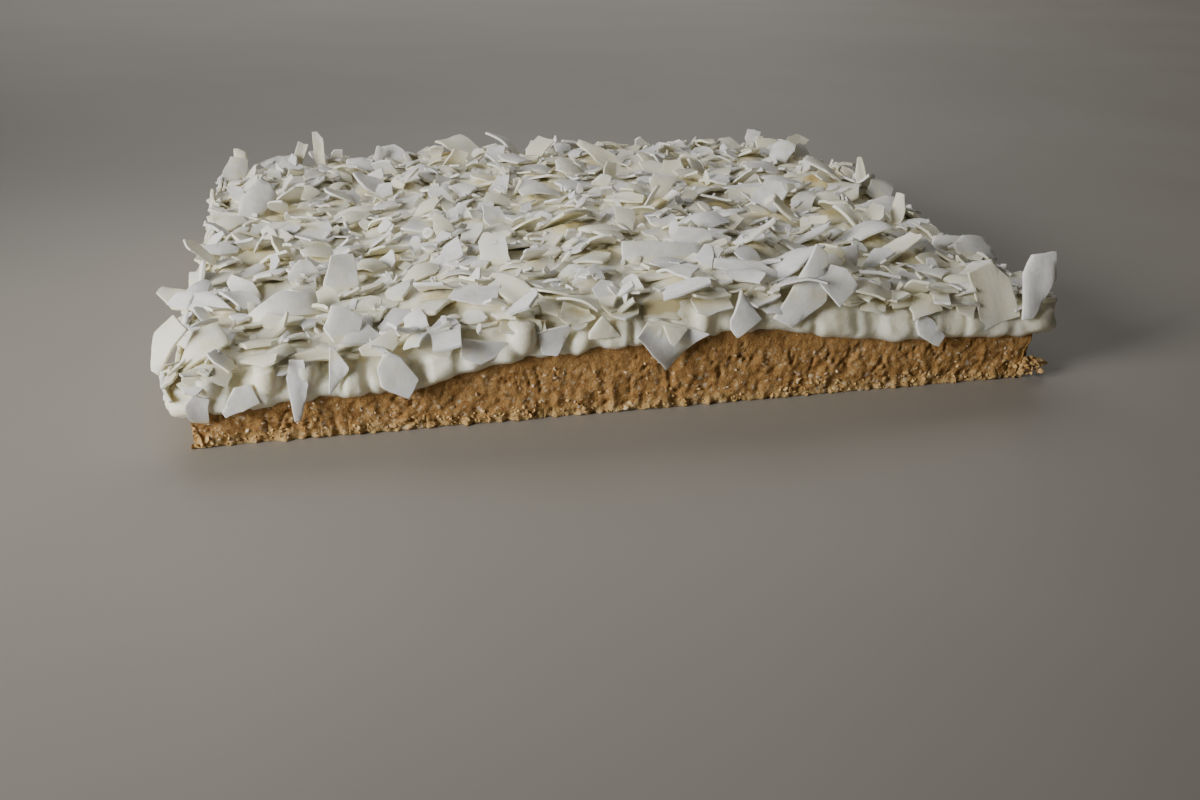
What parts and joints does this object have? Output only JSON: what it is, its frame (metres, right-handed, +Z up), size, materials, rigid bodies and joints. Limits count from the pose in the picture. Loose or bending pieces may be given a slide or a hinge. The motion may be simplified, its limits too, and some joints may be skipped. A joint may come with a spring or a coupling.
{
  "type": "lemon slice",
  "caption": "Flat slab of lemon slice: a pressed biscuit base under a layer of lemon icing, with coconut flakes set all over the top.",
  "frame": {"origin": "middle of the flat underside", "axes": "+X along the long cut sides, +Y from the front cut to the back, +Z up through the layers"},
  "size_m": [0.1516, 0.1262, 0.026],
  "materials": {
    "biscuit": "matt, pressed crumb",
    "icing": "soft satin icing with matt coconut flakes"
  },
  "bodies": {
    "root": {"biscuit_base": "biscuit", "lemon_icing": "icing"}
  },
  "joints": []
}
